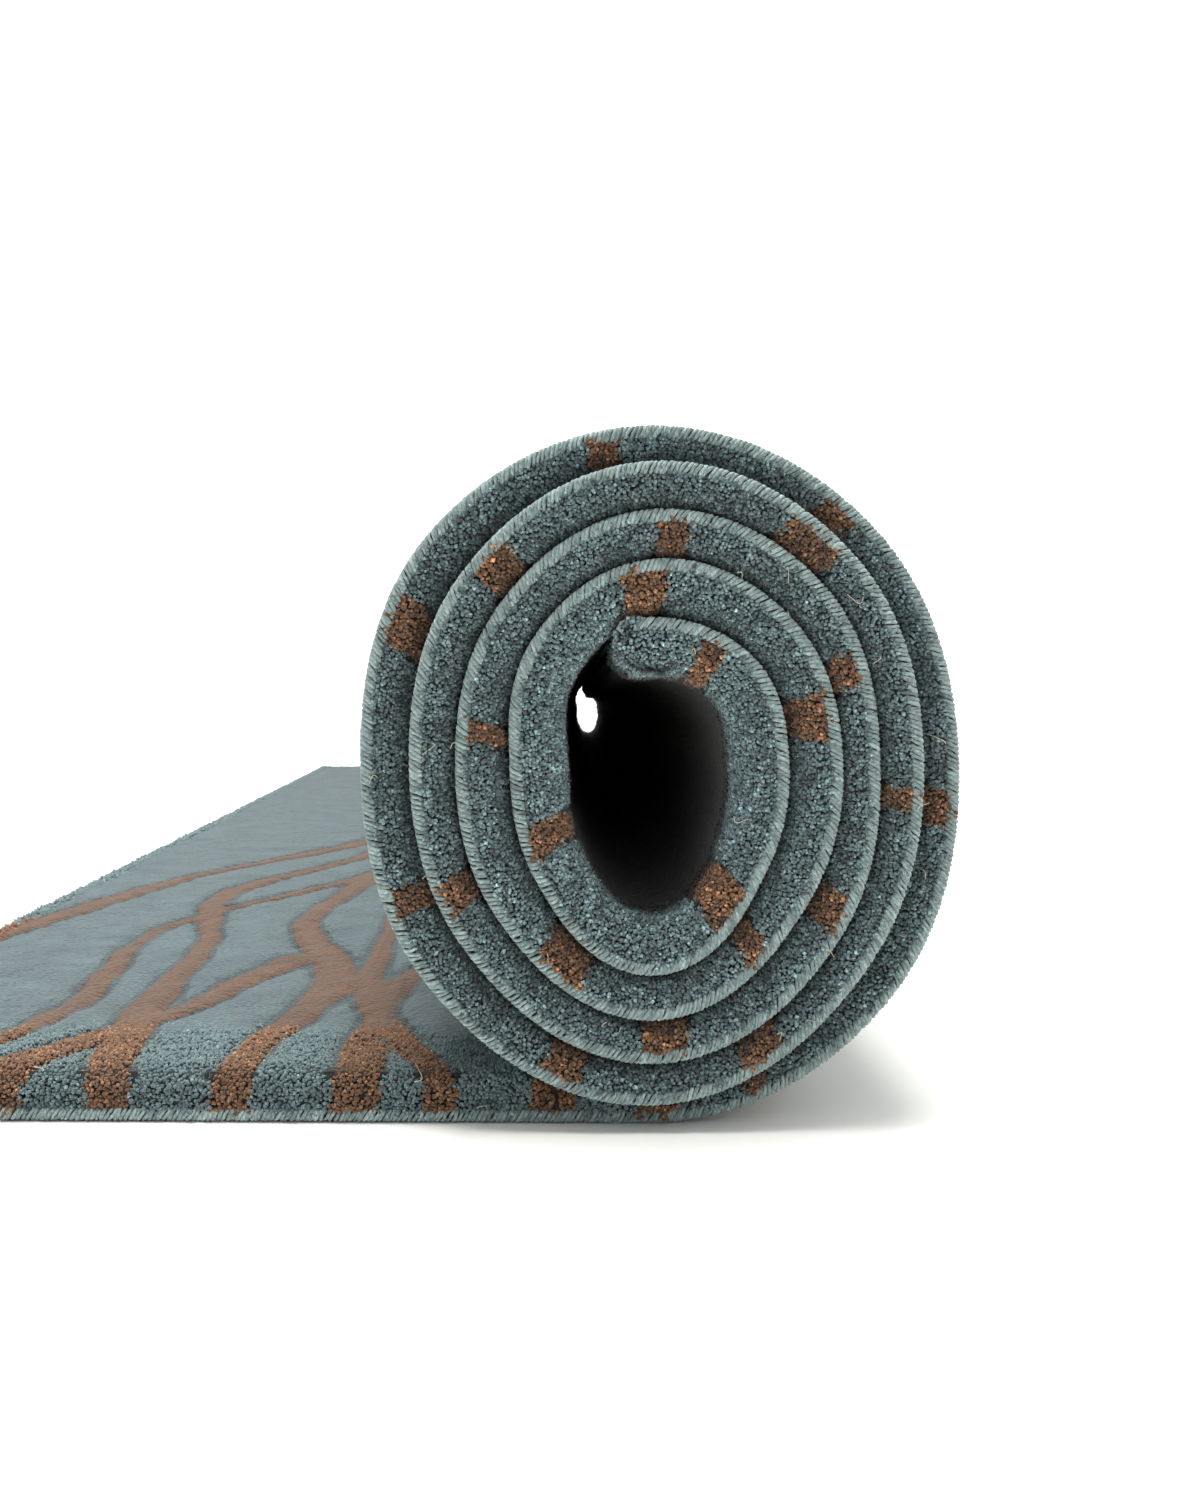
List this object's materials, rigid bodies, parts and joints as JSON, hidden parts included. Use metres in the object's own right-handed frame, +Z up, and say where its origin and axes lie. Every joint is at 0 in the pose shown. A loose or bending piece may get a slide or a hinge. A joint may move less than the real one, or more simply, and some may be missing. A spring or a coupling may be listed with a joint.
{
  "type": "rolled up carpet",
  "caption": "Tufted wool carpet rolled up with its pile inwards, its last stretch lying flat on the floor, with a whipped yarn binding round all its edges.",
  "frame": {"origin": "middle of the base of the whole carpet's box, on the floor that it lies on", "axes": "+Y along the roll's axis, from the roll's end that shows its spiral towards the other end; +Z up; the flat tail runs towards -X"},
  "size_m": [0.5066, 1.719, 0.211],
  "materials": {
    "pile_wool": "dense cut wool pile in grey teal with lines in brown",
    "binding_yarn": "pale grey teal yarn whipped over the edge, matt"
  },
  "bodies": {
    "root": {"carpet": "pile_wool", "overcast_front": "binding_yarn", "overcast_back": "binding_yarn", "overcast_inner": "binding_yarn", "overcast_tail": "binding_yarn"}
  },
  "joints": []
}
